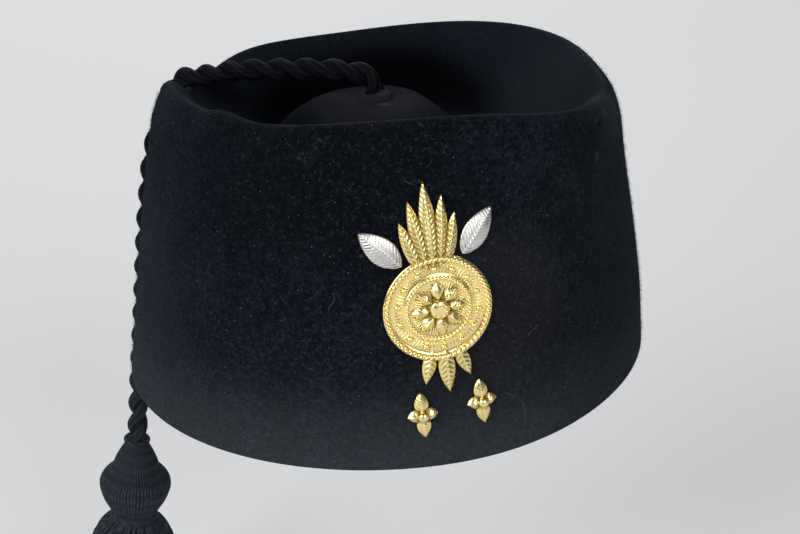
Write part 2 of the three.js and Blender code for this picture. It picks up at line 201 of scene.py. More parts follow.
# Loose hairs on the wall: the angle and the share of the wall's height where each starts, its length, and
# which way it heads and how far it curls and bows, in degrees.
HAIR = {"points": 24, "lift": 0.0004, "arch": 0.0005, "radius": 0.00003, "sides": 5}
Hair = namedtuple("Hair", "angle share length heading curl bow")
HAIRS = (
    Hair(-8.0, 0.850, 0.0044, -18, -8, 0),
    Hair(-22.8, 0.542, 0.0066, 0, -80, -85),
    Hair(13.0, 0.190, 0.0040, -5, -60, 0),
    Hair(16.6, 0.155, 0.0075, -55, -25, -15),
    Hair(19.2, 0.065, 0.0035, -95, -30, 0),
    Hair(18.8, 0.352, 0.0048, 70, -40, -20),
    Hair(140.0, 0.550, 0.0060, 30, -40, 70),
    Hair(-160.0, 0.400, 0.0055, 100, -80, -60),
)

# How many steps a smooth line takes from each row of its table to the next
SPAN_STEPS = {"cord": 12, "seat": 3, "tassel": 5, "boss": 3}

# The cord: its route as in the solids, and how it is laid up
CORD_ROUTE = (
    (-0.0004, 0.0031, 0.0957),
    (-0.0008, 0.0032, 0.0978),
    (-0.0026, 0.0037, 0.1),
    (-0.0058, 0.0048, 0.1014),
    (-0.0102, 0.0067, 0.1019),
    (-0.0154, 0.0092, 0.102),
    (-0.021, 0.0118, 0.1019),
    (-0.028, 0.0153, 0.1015),
    (-0.035, 0.0192, 0.1009),
    (-0.042, 0.0238, 0.0998),
    (-0.0486, 0.0288, 0.0982),
    (-0.054, 0.0336, 0.0962),
    (-0.058, 0.0374, 0.0951),
    (-0.0614, 0.04, 0.0935),
    (-0.0644, 0.0416, 0.0905),
    (-0.0666, 0.0427, 0.0863),
    (-0.0682, 0.043, 0.082),
    (-0.0704, 0.042, 0.077),
    (-0.073, 0.0406, 0.0706),
    (-0.0752, 0.0402, 0.0616),
    (-0.077, 0.0407, 0.0506),
    (-0.079, 0.0416, 0.0368),
    (-0.0809, 0.0428, 0.0206),
    (-0.0827, 0.0443, 0.005),
    (-0.0846, 0.0457, -0.0105),
    (-0.0863, 0.0466, -0.024),
    (-0.0879, 0.0471, -0.037),
    (-0.0895, 0.0476, -0.0502),
)
# Down in the knot, where the plies come out.
CORD_ROOT = (-0.0001, 0.003, 0.0931)
PLY = {"radius": 0.00215, "offset": 0.0017, "lay": 0.0195, "phase": 0.4, "sides": 28, "step": 0.0006}
# The ridges of a ply's yarns, with this share of their depth as the level of the ply's radius.
PLY_YARNS = {"count": 6, "depth": 0.00016, "turn_length": 0.011, "level": 0.6}
# How far the plies part at the root, and how thin they are at both ends.
PLY_PARTING = {"share": 0.3, "reach": 0.003}
PLY_END = {"share": 0.55, "reach": 0.002}
# The heights between which the cord's silk greys towards the tassel.
CORD_FADE = {"from": 0.070, "to": -0.050, "tone": (0.0205, 0.0250, 0.0325, 1)}
# Silks: the dark and light of the yarns, how many go round a strand and their turns in a metre.
Silk = namedtuple("Silk", "name dark light yarns turns fade")
CORD_SILK = Silk("cord_silk", (0.0006, 0.0006, 0.0012, 1), (0.0038, 0.0037, 0.0066, 1), 6, 90, CORD_FADE)
# The seat's silk is paler than the cord's for a painted highlight on the knot, and the tassel's silk for
# painted light on the tassel.
SEAT_SILK = Silk("seat_silk", (0.0100, 0.0091, 0.0112, 1), (0.0265, 0.0247, 0.0287, 1), 2, 240, None)
TASSEL_SILK = Silk("tassel_silk", (0.0160, 0.0196, 0.0258, 1), (0.0330, 0.0400, 0.0515, 1), 2, 240, None)
SILK_FINISH = {
    "Roughness": 0.7, "Specular IOR Level": 0.08,
    "Sheen Weight": 0.02, "Sheen Roughness": 0.4, "Sheen Tint": (0.75, 0.72, 0.82, 1),
}
SILK_BUMP = {"strength": 0.5, "distance": 0.0002}
# How unevenly the yarns turn, in radians, how many changes of it and of their fine fibres go to a metre, and
# the range of their sum from dark to light.
YARN = {"uneven": 6.0, "changes": 240, "fine": 260, "dark": 0.15, "light": 0.9}

# The seat of threads over the cord's root. A station is a radius, and how far along the axis it is.
Station = namedtuple("Station", "radius along")
SEAT_LINE = (
    Station(0.0006, -0.0029),
    Station(0.0022, -0.0028),
    Station(0.0042, -0.0021),
    Station(0.0054, -0.0008),
    Station(0.0056, 0.0006),
)
SEAT_THREAD = {"radius": 0.00048, "sides": 7}
SEAT_LAY = {"count": 34, "seed": 11, "stray": 0.1, "smallest": 0.97, "largest": 1.03}

# The tassel, down from the cord's end
TASSEL_TOP = np.array([-0.0895, 0.0476, -0.0505])
TASSEL_HANG = Vector((-0.12, 0.035, -1))
HEAD_LINE = (
    Station(0.0044, 0.0),
    Station(0.0055, 0.0030),
    Station(0.0070, 0.0060),
    Station(0.0083, 0.0090),
    Station(0.0099, 0.0134),
    Station(0.0121, 0.0156),
    Station(0.0135, 0.0180),
    Station(0.0138, 0.0200),
    Station(0.0134, 0.0220),
    Station(0.0124, 0.0252),
    Station(0.0109, 0.0282),
    Station(0.0094, 0.0312),
    Station(0.0085, 0.0332),
)
HEAD_THREADS = {"radius": 0.00076, "overlap": 1.15, "sides": 7}
HEAD_LAY = {"count": 64, "seed": 21, "stray": 0.12}
# The core under the threads, with its map of yarns as long as this.
HEAD_CORE = {"sides": 40, "mapped_length": 0.03}
NECK_BINDING = {"radius": 0.0083, "swell": 0.0003, "turns": 4, "from": 0.0322, "to": 0.0354}
NECK_THREAD = {"radius": 0.00058, "sides": 8, "steps_in_turn": 36}
COLLAR = {"radius": 0.0043, "height": -0.0004, "thread": 0.0008, "sides": 8, "steps": 48}
SKIRT_LINE = (
    Station(0.0074, 0.0345),
    Station(0.0094, 0.0370),
    Station(0.0124, 0.0396),
    Station(0.0145, 0.0430),
    Station(0.0163, 0.0470),
    Station(0.0177, 0.0550),
    Station(0.0186, 0.0700),
    Station(0.0190, 0.0955),
)
STRAND = {"radius": 0.00085, "sides": 6, "step": 0.0026, "plies": 2, "turn_length": 0.0042, "ridge": 0.16}
STRAND_WAVE = {"height": 0.00025, "length": 0.009, "lag": 4}
SKIRT_LAY = {"stray": 0.45, "lean": 0.028, "smallest": 0.965, "largest": 1.01}
Layer = namedtuple("Layer", "share count seed")
SKIRT_LAYERS = (
    Layer(1, 74, 3),
    Layer(0.88, 62, 4),
    Layer(0.74, 50, 5),
    Layer(0.56, 36, 6),
    Layer(0.33, 20, 7),
)

# The badge, flat: across, up and out from its back, before it is bent to the wall
BADGE = {"angle": -0.9, "height": 0.0533, "lean": 6.5, "seat": 0.00035, "scale": 1.06}
Metal = namedtuple("Metal", "name bright dull frost")
GILT = Metal("gilt", (0.93, 0.76, 0.34, 1), (0.36, 0.25, 0.065, 1), 0.14)
SILVER = Metal("silver", (0.70, 0.682, 0.66, 1), (0.15, 0.145, 0.14, 1), 0.29)
METAL_BUMP = {"strength": 0.12, "distance": 0.00008}
# How many stains and grains of the metal go to a metre, and the range of its hollows from bright to dull.
PRESSING = {"stains": 420, "grains": 5200, "bright": 0.12, "dull": 0.75}
BOSS_SIDES = 96
BOSS_LINE = (
    Station(0.0160, 0.0),
    Station(0.0163, 0.0005),
    Station(0.0160, 0.0011),
    Station(0.0151, 0.0013),
    Station(0.0142, 0.0011),
    Station(0.0137, 0.0009),
    Station(0.0104, 0.0009),
    Station(0.0099, 0.0012),
    Station(0.0092, 0.0013),
    Station(0.0085, 0.0011),
    Station(0.0032, 0.0013),
    Station(0.0027, 0.0025),
    Station(0.0015, 0.0031),
    Station(0.0006, 0.0031),
)
# Lumps in rings on the boss: each one's size, its lift off the flat and its turn, and where they stand.
LumpRing = namedtuple("LumpRing", "name length width height sides lift turn count radius shift")
LUMP_RINGS = (
    LumpRing("outer rope", 0.0027, 0.00125, 0.0011, 10, 0.0011, 52, 62, 0.0150, 0.0),
    LumpRing("inner rope", 0.0019, 0.00095, 0.0008, 10, 0.0011, 52, 52, 0.0093, 0.0),
    LumpRing("outer rays", 0.0031, 0.0005, 0.00034, 6, 0.0009, 0, 76, 0.0120, 0.0),
    LumpRing("pellets", 0.0021, 0.0021, 0.0011, 10, 0.0011, 0, 14, 0.01205, 0.5),
    LumpRing("inner rays", 0.0048, 0.00042, 0.0003, 6, 0.0012, 0, 60, 0.0059, 0.0),
    LumpRing("beads", 0.0009, 0.0009, 0.0006, 10, 0.0028, 0, 8, 0.0019, 0.5),
)
LeafSize = namedtuple("LeafSize", "turn start length width relief")
FAN_LEAVES = (
    LeafSize(0, 0.011, 0.0275, 0.0056, 0.0024),
    LeafSize(9, 0.0115, 0.0225, 0.0048, 0.0021),
    LeafSize(-9, 0.0115, 0.0225, 0.0048, 0.0021),
    LeafSize(17.5, 0.012, 0.017, 0.0044, 0.0018),
    LeafSize(-17.5, 0.012, 0.017, 0.0044, 0.0018),
    LeafSize(180, 0.012, 0.015, 0.005, 0.0022),
    LeafSize(164, 0.0125, 0.0115, 0.0042, 0.0018),
    LeafSize(-164, 0.0125, 0.0115, 0.0042, 0.0018),
)
PETAL = LeafSize(90, 0, 0.0063, 0.0042, 0.0023)
PETAL_RING = {"count": 8, "radius": 0.0022}
PETAL_LIFT = 0.0004
SILVER_LEAF = {"across": 0.0092, "up": 0.0145, "size": LeafSize(43, 0, 0.0165, 0.0078, 0.0022)}
STUD = {"across": 0.0087, "up": -0.0325}
STUD_BUTTON = {"radius": 0.0017, "sides": 16, "rows": 10}
STUD_LEAVES = (
    LeafSize(0, 0, 0.0075, 0.0042, 0.0019),
    LeafSize(90, 0, 0.0046, 0.0042, 0.0019),
    LeafSize(180, 0, 0.0075, 0.0042, 0.0019),
    LeafSize(270, 0, 0.0046, 0.0042, 0.0019),
)
LEAF_FORM = {
    "row_step": 0.00018, "least_rows": 12, "columns": 21, "widest_at": 0.85, "fullness": 0.8,
    "end_ridge": 0.35, "edge": 0.3, "edge_curve": 1.7, "face": 0.86, "rib_width": 0.13,
    "vein_in": 0.4, "vein_out": 0.5,
}
Veins = namedtuple("Veins", "spacing rise depth midrib")
GILT_VEINS = Veins(0.0016, 0.9, 0.16, 0.14)
PETAL_VEINS = Veins(0.0012, 0.9, 0.05, 0.1)
SILVER_VEINS = Veins(0.0012, 0.9, 0.22, 0.1)
# The coarse map of the badge's relief, and how a hollow counts: as level where all is flat, and as one more
# for each depth under that.
RELIEF_MAP = {"cell": 0.00025, "margin": 8, "reach": 3}
HOLLOW = {"depth": 0.0005, "level": 0.2}


# Shader nodes
def add_node(tree, kind, sockets=None, **settings):
    """A new node with its settings, and with each named or numbered input set or linked."""
    node = tree.nodes.new(kind)
    for name, value in settings.items():
        setattr(node, name, value)
    for name, value in (sockets or {}).items():
        if isinstance(value, bpy.types.NodeSocket):
            tree.links.new(value, node.inputs[name])
        else:
            node.inputs[name].default_value = value
    return node


def new_group(name, kind, inputs, outputs):
    """An empty node group with the named sockets, and its input and output nodes."""
    tree = bpy.data.node_groups.new(name, kind)
    for socket_name, socket_kind in inputs.items():
        tree.interface.new_socket(socket_name, in_out="INPUT", socket_type="NodeSocket" + socket_kind)
    for socket_name, socket_kind in outputs.items():
        tree.interface.new_socket(socket_name, in_out="OUTPUT", socket_type="NodeSocket" + socket_kind)
    return tree, tree.nodes.new("NodeGroupInput").outputs, tree.nodes.new("NodeGroupOutput").inputs


def math_node(tree, operation, first, second=0.0):
    return add_node(tree, "ShaderNodeMath", {0: first, 1: second}, operation=operation).outputs[0]


def times(tree, first, second):
    return math_node(tree, "MULTIPLY", first, second)


def mixture(tree, *terms):
    """The sum of values, each times its share."""
    total = 0.0
    for value, share in terms:
        sockets = {0: value, 1: share, 2: total}
        total = add_node(tree, "ShaderNodeMath", sockets, operation="MULTIPLY_ADD").outputs[0]
    return total


def blend(tree, share, first, second):
    """A colour, share of the way from the first to the second."""
    return add_node(tree, "ShaderNodeMix", {0: share, 6: first, 7: second}, data_type="RGBA").outputs[2]


def ramp(tree, value, low, high):
    """0 at low and under, 1 at high and over, smooth between."""
    sockets = {"Value": value, "From Min": low, "From Max": high}
    return add_node(tree, "ShaderNodeMapRange", sockets, interpolation_type="SMOOTHSTEP").outputs[0]


def noise(tree, place, scale, detail=2.0, distortion=0.0):
    sockets = {"Vector": place, "Scale": scale, "Detail": detail, "Distortion": distortion}
    return add_node(tree, "ShaderNodeTexNoise", sockets).outputs["Fac"]


def distance(tree, place, middle):
    sockets = {0: place, 1: middle}
    return add_node(tree, "ShaderNodeVectorMath", sockets, operation="DISTANCE").outputs["Value"]


def split(tree, place):
    """A place's three measures."""
    return add_node(tree, "ShaderNodeSeparateXYZ", {0: place}).outputs


def painted_shade_in_dent(tree, place, crown):
    """How far the painted shade in the crown's dent reaches."""
    level = {0: place, 1: (1, 1, 0)}
    in_plan = add_node(tree, "ShaderNodeVectorMath", level, operation="MULTIPLY").outputs[0]
    near = ramp(tree, distance(tree, in_plan, PAINTED_GROOVE_SHADE["middle"]), PAINTED_GROOVE_SHADE["far"], PAINTED_GROOVE_SHADE["near"])
    low = ramp(tree, split(tree, place)["Z"], PAINTED_GROOVE_SHADE["high"], PAINTED_GROOVE_SHADE["low"])
    return times(tree, times(tree, times(tree, near, crown), low), PAINTED_GROOVE_SHADE["share"])


def painted_light_at_hem(tree, place, mottle):
    """How far painted light lightens the felt towards the hem."""
    parts = split(tree, place)
    on_left = ramp(tree, parts["X"], PAINTED_HEM_LIGHT["right"], PAINTED_HEM_LIGHT["left"])
    share = mixture(tree, (on_left, PAINTED_HEM_LIGHT["more_on_left"]), (PAINTED_HEM_LIGHT["share"], 1.0))
    near_hem = times(tree, ramp(tree, parts["Z"], PAINTED_HEM_LIGHT["from"], PAINTED_HEM_LIGHT["to"]), share)
    return times(tree, near_hem, mixture(tree, (mottle, PAINTED_HEM_LIGHT["mottled"]), (PAINTED_HEM_LIGHT["even"], 1.0)))


def stray_fibres(tree, place, crown):
    """Short curled lines on the wall, where the felt shows a stray fibre."""
    curled = noise(tree, place, STRAYS["lines"], detail=1, distortion=STRAYS["curl"])
    from_line = math_node(tree, "ABSOLUTE", math_node(tree, "SUBTRACT", curled, 0.5))
    pieces = ramp(tree, noise(tree, place, STRAYS["breaks"], detail=1), STRAYS["gap"], STRAYS["piece"])
    strays = times(tree, ramp(tree, from_line, STRAYS["thick"], STRAYS["thin"]), pieces)
    at_front = ramp(tree, split(tree, place)["Y"], STRAYS["side"], STRAYS["front"])
    on_show = mixture(tree, (at_front, 1 - STRAYS["everywhere"]), (STRAYS["everywhere"], 1.0))
    on_wall = math_node(tree, "SUBTRACT", 1.0, crown)
    return times(tree, strays, times(tree, on_show, on_wall))


def felt_fibres_group():
    """Matted wool: its mottled colour with stray fibres, and the height of its fibres. It is smoother in the
    crown, has painted shade in the dent, patches of painted light, shade and dust, and painted light at the
    hem."""
    inputs = {"Place": "Vector", "Crown": "Float", "Dark": "Color", "Light": "Color", "Stray": "Color"}
    outputs = {"Colour": "Color", "Height": "Float"}
    tree, given, put = new_group("felt_fibres", "ShaderNodeTree", inputs, outputs)
    place, crown = given["Place"], given["Crown"]
    clouds = noise(tree, place, WOOL["clouds"])
    tufts = noise(tree, place, WOOL["tufts"], detail=3, distortion=0.5)
    fibres = noise(tree, place, WOOL["fibres"], distortion=1.0)
    low = mixture(tree, (crown, -WOOL["wider"]), (WOOL["dark"], 1.0))
    high = mixture(tree, (crown, WOOL["wider"]), (WOOL["light"], 1.0))
    mottle = ramp(tree, mixture(tree, (clouds, 0.15), (tufts, 0.45), (fibres, 0.4)), low, high)
    colour = blend(tree, mottle, given["Dark"], given["Light"])
    # Painted shade in the crown's dent.
    colour = blend(tree, painted_shade_in_dent(tree, place, crown), colour, PAINTED_GROOVE_SHADE["tone"])
    # Painted light and shade in patches, and dust and wear on the mound.
    for patch in PAINTED_LIGHT_SHADE_AND_DUST:
        reach = ramp(tree, distance(tree, place, patch.middle), patch.far, patch.near)
        colour = blend(tree, times(tree, reach, patch.share), colour, (*patch.colour, 1))
    # Painted light towards the hem, stronger on the left.
    colour = blend(tree, painted_light_at_hem(tree, place, mottle), colour, PAINTED_HEM_LIGHT["tone"])
    colour = blend(tree, stray_fibres(tree, place, crown), colour, given["Stray"])
    tree.links.new(colour, put["Colour"])
    tree.links.new(mixture(tree, (tufts, 0.8), (fibres, 1.0)), put["Height"])
    return tree


def twisted_yarn_group():
    """Yarns twisted round a strand, from its map of once round and metres along."""
    inputs = {"Map": "Vector", "Place": "Vector", "Yarns": "Float", "Turns": "Float"}
    outputs = {"Tone": "Float", "Height": "Float"}
    tree, given, put = new_group("twisted_yarn", "ShaderNodeTree", inputs, outputs)
    parts = split(tree, given["Map"])
    round_it = times(tree, parts["X"], given["Yarns"])
    along_it = times(tree, parts["Y"], given["Turns"])
    uneven = noise(tree, given["Place"], YARN["changes"], detail=1)
    turned = mixture(tree, (round_it, math.tau), (along_it, math.tau), (uneven, YARN["uneven"]))
    wave = math_node(tree, "SINE", turned)
    fine = noise(tree, given["Map"], YARN["fine"], detail=3)
    tree.links.new(mixture(tree, (wave, 0.35), (fine, 1.0)), put["Tone"])
    tree.links.new(mixture(tree, (wave, 1.0), (fine, 0.6)), put["Height"])
    return tree


def pressed_metal_group():
    """Pressed sheet metal: dull and dark in its hollows, bright on its heights, with fine scratches."""
    inputs = {"Place": "Vector", "Hollow": "Float", "Bright": "Color", "Dull": "Color", "Frost": "Float"}
    outputs = {"Colour": "Color", "Roughness": "Float", "Height": "Float"}
    tree, given, put = new_group("pressed_metal", "ShaderNodeTree", inputs, outputs)
    stain = noise(tree, given["Place"], PRESSING["stains"], detail=4)
    grain = noise(tree, given["Place"], PRESSING["grains"])
    stained = mixture(tree, (given["Hollow"], 1.0), (stain, 0.25))
    hollow = ramp(tree, stained, PRESSING["bright"], PRESSING["dull"])
    tree.links.new(blend(tree, hollow, given["Bright"], given["Dull"]), put["Colour"])
    tree.links.new(mixture(tree, (stain, 0.16), (hollow, 0.25), (given["Frost"], 1.0)), put["Roughness"])
    tree.links.new(mixture(tree, (grain, 1.0), (stain, 0.5)), put["Height"])
    return tree


def new_material(name, finish):
    """A material whose Principled shader has the finish's inputs."""
    material = bpy.data.materials.new(name)
    material.use_nodes = True
    shader = material.node_tree.nodes["Principled BSDF"]
    for socket, value in finish.items():
        shader.inputs[socket].default_value = value
    return material, material.node_tree, shader.inputs


def placed_group(tree, group, sockets):
    """The group's outputs, with its inputs set or linked."""
    return add_node(tree, "ShaderNodeGroup", sockets, node_tree=group).outputs


def bump(tree, height, strength, distance):
    sockets = {"Height": height, "Strength": strength, "Distance": distance}
    return add_node(tree, "ShaderNodeBump", sockets).outputs["Normal"]


def object_place(tree):
    return tree.nodes.new("ShaderNodeTexCoord").outputs["Object"]


def attribute(tree, name):
    """A value stored on the mesh, nothing where it has none."""
    return add_node(tree, "ShaderNodeAttribute", attribute_name=name).outputs["Fac"]


def felt_material(group):
    """Black felt with its painted light and shade, greyer along the fold's crest where it is worn and where
    sheen is painted on.
    """
    material, tree, shader = new_material("black_felt", FELT_FINISH)
    place = object_place(tree)
    felt = placed_group(tree, group, {"Place": place, "Crown": attribute(tree, "crown"), **FELT_TONES})
    broad = noise(tree, place, WORN_AND_SHEEN_SPOTS["broad"])
    fine = noise(tree, place, WORN_AND_SHEEN_SPOTS["fine"])
    spots = ramp(tree, mixture(tree, (broad, 0.6), (fine, 0.4)), WORN_AND_SHEEN_SPOTS["none"], WORN_AND_SHEEN_SPOTS["full"])
    # Wear and painted sheen along the fold's crest.
    worn = times(tree, attribute(tree, "worn"), spots)
    tree.links.new(blend(tree, worn, felt["Colour"], WORN_AND_SHEEN_TONE), shader["Base Color"])
    tree.links.new(bump(tree, felt["Height"], **FELT_BUMP), shader["Normal"])
    return material


def nap_material(group):
    """Loose fibres that stand off the felt, some of them paler."""
    material, tree, shader = new_material("felt_nap", NAP_FINISH)
    # The nap carries the felt's painted light and shade too.
    sockets = {"Place": object_place(tree), "Crown": attribute(tree, "crown"), **NAP_TONES}
    tree.links.new(placed_group(tree, group, sockets)["Colour"], shader["Base Color"])
    return material


def lint_material():
    material, tree, shader = new_material("pale_lint", LINT_FINISH)
    tint = noise(tree, object_place(tree), LINT_TINTS, detail=1)
    tree.links.new(blend(tree, tint, LINT_TONES["dull"], LINT_TONES["pale"]), shader["Base Color"])
    return material


def silk_material(group, silk):
    """Dull black silk, its yarns twisted round each strand. With a fade, it is greyer lower down."""
    material, tree, shader = new_material(silk.name, SILK_FINISH)
    yarn_map = add_node(tree, "ShaderNodeUVMap", uv_map="yarn").outputs["UV"]
    place = object_place(tree)
    sockets = {"Map": yarn_map, "Place": place, "Yarns": silk.yarns, "Turns": silk.turns}
    yarn = placed_group(tree, group, sockets)
    tone = ramp(tree, yarn["Tone"], YARN["dark"], YARN["light"])
    colour = blend(tree, tone, silk.dark, silk.light)
    if silk.fade:
        height = split(tree, place)["Z"]
        uneven = mixture(tree, (tone, 0.5), (0.5, 1.0))
        share = times(tree, ramp(tree, height, silk.fade["from"], silk.fade["to"]), uneven)
        colour = blend(tree, share, colour, silk.fade["tone"])
    tree.links.new(colour, shader["Base Color"])
    tree.links.new(bump(tree, yarn["Height"], **SILK_BUMP), shader["Normal"])
    return material


def metal_material(group, metal):
    material, tree, shader = new_material(metal.name, {"Metallic": 1.0})
    sockets = {"Place": object_place(tree), "Hollow": attribute(tree, "hollow")}
    sockets.update({"Bright": metal.bright, "Dull": metal.dull, "Frost": metal.frost})
    pressed = placed_group(tree, group, sockets)
    tree.links.new(pressed["Colour"], shader["Base Color"])
    tree.links.new(pressed["Roughness"], shader["Roughness"])
    tree.links.new(bump(tree, pressed["Height"], **METAL_BUMP), shader["Normal"])
    return material


# Meshes
def round_ring(sides):
    """The angles of so many places round a ring."""
    return math.tau * np.arange(sides) / sides


def circle(radius, height, angles):
    """Points round the third axis."""
    level = np.broadcast_to(height, angles.shape)
    return np.stack([radius * np.cos(angles), radius * np.sin(angles), level], -1)


def faces_between(rows, sides, first=0):
    """The faces between rings of points, of which the first point has this number."""
    side = np.arange(sides)
    after = (side + 1) % sides
    here = first + np.arange(rows - 1)[:, None] * sides
    faces = np.stack([here + side, here + sides + side, here + sides + after, here + after], -1)
    return faces.reshape(-1, 4).tolist()


def closed_loft(name, first, rings, last, along=None):
    """A closed surface through rings of points with one point at each end. Seen from outside the first end,
    rings run anticlockwise. With along, metres for each ring, it gets the map "yarn"."""
    rings = np.asarray(rings)
    rows, sides = rings.shape[:2]
    points = np.concatenate([[first], rings.reshape(-1, 3), [last]])
    side = np.arange(sides)
    after = (side + 1) % sides
    start = 1 + (rows - 1) * sides
    faces = np.stack([np.zeros(sides, int), 1 + side, 1 + after], -1).tolist()
    faces += faces_between(rows, sides, 1)
    faces += np.stack([np.full(sides, len(points) - 1), start + after, start + side], -1).tolist()
    mesh = bpy.data.meshes.new(name)
    mesh.from_pydata(points.tolist(), [], faces)
    if along is not None:
        share = side / sides
        step = 1 / sides
        low, high = np.full(sides, along[0]), np.full(sides, along[-1])
        top = np.stack([share + step / 2, low, share, low, share + step, low], -1)
        near = np.repeat(along[:-1], sides)
        far = np.repeat(along[1:], sides)
        round_it = np.tile(share, rows - 1)
        body = np.stack([round_it, near, round_it, far, round_it + step, far, round_it + step, near], -1)
        bottom = np.stack([share + step / 2, high, share + step, high, share, high], -1)
        layer = mesh.uv_layers.new(name="yarn")
        layer.data.foreach_set("uv", np.concatenate([top.ravel(), body.ravel(), bottom.ravel()]))
    mesh.shade_smooth()
    return mesh


def new_object(name, data, material=None):
    piece = bpy.data.objects.new(name, data)
    bpy.context.scene.collection.objects.link(piece)
    if material:
        data.materials.clear()
        data.materials.append(material)
    return piece


def merged(name, meshes):
    """One mesh of several, which are then gone."""
    whole = bmesh.new()
    for mesh in meshes:
        whole.from_mesh(mesh)
        bpy.data.meshes.remove(mesh)
    mesh = bpy.data.meshes.new(name)
    whole.to_mesh(mesh)
    whole.free()
    mesh.shade_smooth()
    return mesh


def points_of(mesh):
    flat = np.empty(len(mesh.vertices) * 3)
    mesh.vertices.foreach_get("co", flat)
    return flat.reshape(-1, 3)


def store(mesh, name, values):
    """Keeps a value for each point on the mesh."""
    mesh.attributes.new(name, "FLOAT", "POINT").data.foreach_set("value", np.asarray(values, np.float32))


def move_points(mesh, points):
    mesh.vertices.foreach_set("co", np.ascontiguousarray(points, np.float32).ravel())
    mesh.update()


def turned_in_plane(points, degrees):
    """Points turned clockwise about the third axis, as seen against it."""
    cosine, sine = math.cos(math.radians(degrees)), math.sin(math.radians(degrees))
    across, up = points[:, 0].copy(), points[:, 1].copy()
    return np.stack([across * cosine + up * sine, up * cosine - across * sine, points[:, 2]], -1)


def along_spans(knots, steps):
    """Points on a smooth line through the knots, without the first: as many in each span as steps says."""
    ends = [2 * knots[0] - knots[1], *knots, 2 * knots[-1] - knots[-2]]
    least_gap = 1e-9
    line = []
    for span, count in enumerate(steps):
        before, start, end, after = ends[span : span + 4]
        pairs = ((before, start), (start, end), (end, after))
        gaps = [np.linalg.norm(far - near, axis=-1, keepdims=True) for near, far in pairs]
        into, across, out = [np.sqrt(np.maximum(gap, least_gap)) for gap in gaps]
        leaving = (start - before) / into - (end - before) / (into + across) + (end - start) / across
        arriving = (end - start) / across - (after - start) / (across + out) + (after - end) / out
        leaving, arriving = leaving * across, arriving * across
        for step in range(1, count + 1):
            t = step / count
            curve = -3 * start + 3 * end - 2 * leaving - arriving
            turn = 2 * start - 2 * end + leaving + arriving
            line.append(start + t * (leaving + t * (curve + t * turn)))
    return line


def smooth_line(knots, steps):
    """A smooth line through the knots, with so many steps from each to the next."""
    return [knots[0], *along_spans(knots, [steps] * (len(knots) - 1))]


def evenly(line, step):
    """The line again, with points about a step apart."""
    line = np.asarray(line)
    lengths = np.concatenate([[0], np.cumsum(np.linalg.norm(np.diff(line, axis=0), axis=1))])
    at = np.linspace(0, lengths[-1], max(2, round(lengths[-1] / step) + 1))
    return np.stack([np.interp(at, lengths, line[:, axis]) for axis in range(3)], -1), at


def frames_along(path):
    """A side and an up direction at each point of a path, carried along it without twist."""
    ahead = np.gradient(path, axis=0)
    ahead /= np.linalg.norm(ahead, axis=1, keepdims=True)
    no_path_starts_along = (0.31, 0.95, 0.07)
    side = np.cross(ahead[0], no_path_starts_along)
    sides = []
    for direction in ahead:
        side = side - direction * (side @ direction)
        side /= np.linalg.norm(side)
        sides.append(side)
    sides = np.array(sides)
    return sides, np.cross(ahead, sides)


def tube(name, path, radii, sides):
    """A tube along a path, closed at both ends. Radii are one for all, one for each point, or one for each
    point and side."""
    path = np.asarray(path)
    across, up = frames_along(path)
    angles = -round_ring(sides)
    radii = np.asarray(radii, float)
    radii = radii[:, None] if radii.ndim == 1 else radii
    spokes = across[:, None] * np.cos(angles)[:, None] + up[:, None] * np.sin(angles)[:, None]
    rings = path[:, None] + spokes * np.broadcast_to(radii, (len(path), sides))[..., None]
    along = np.concatenate([[0], np.cumsum(np.linalg.norm(np.diff(path, axis=0), axis=1))])
    return closed_loft(name, path[0], rings, path[-1], along)


def pebble(name, length, width, height, sides=10, rows=6):
    """A low oval lump on the flat, its length across."""
    angles = -round_ring(sides)
    rings = []
    for row in range(1, rows):
        turn = math.pi * row / rows
        shape = [np.cos(turn) * np.ones(sides), np.sin(turn) * np.cos(angles), np.sin(turn) * np.sin(angles)]
        rings.append(np.stack(shape, -1) * (length / 2, width / 2, height))
    return closed_loft(name, (length / 2, 0, 0), rings, (-length / 2, 0, 0))


# Repeats by geometry nodes
def random_number(tree, given, low, high):
    """A number for each copy, at random from low to high."""
    sockets = {2: low, 3: high, "Seed": given["Seed"]}
    return add_node(tree, "FunctionNodeRandomValue", sockets, data_type="FLOAT").outputs[1]


def either_way(tree, given, name):
    """A number for each copy, at random, as far to either side of nothing as the named input."""
    return random_number(tree, given, times(tree, given[name], -1.0), given[name])


def scatter_tree():
    """Copies of an item strewn over a surface, each leaning and sized at random."""
    inputs = {
        "Geometry": "Geometry", "Item": "Object", "Density": "Float", "Lean": "Float", "Smallest": "Float",
        "Largest": "Float", "Seed": "Int", "Material": "Material",
    }
    tree, given, put = new_group("scatter", "GeometryNodeTree", inputs, {"Geometry": "Geometry"})
    sockets = {"Mesh": given["Geometry"], "Density": given["Density"], "Seed": given["Seed"]}
    points = add_node(tree, "GeometryNodeDistributePointsOnFaces", sockets)
    back = times(tree, given["Lean"], -1.0)
    low = add_node(tree, "ShaderNodeCombineXYZ", {"X": back, "Y": back, "Z": -math.pi})
    high = add_node(tree, "ShaderNodeCombineXYZ", {"X": given["Lean"], "Y": given["Lean"], "Z": math.pi})
    sockets = {0: low.outputs[0], 1: high.outputs[0], "Seed": given["Seed"]}
    lean = add_node(tree, "FunctionNodeRandomValue", sockets, data_type="FLOAT_VECTOR")
    turn = add_node(tree, "FunctionNodeEulerToRotation", {0: lean.outputs[0]})
    sockets = {"Rotation": points.outputs["Rotation"], "Rotate By": turn.outputs[0]}
    stand = add_node(tree, "FunctionNodeRotateRotation", sockets, rotation_space="LOCAL")
    finish_tree(tree, given, put, points.outputs["Points"], stand.outputs[0])
    return tree


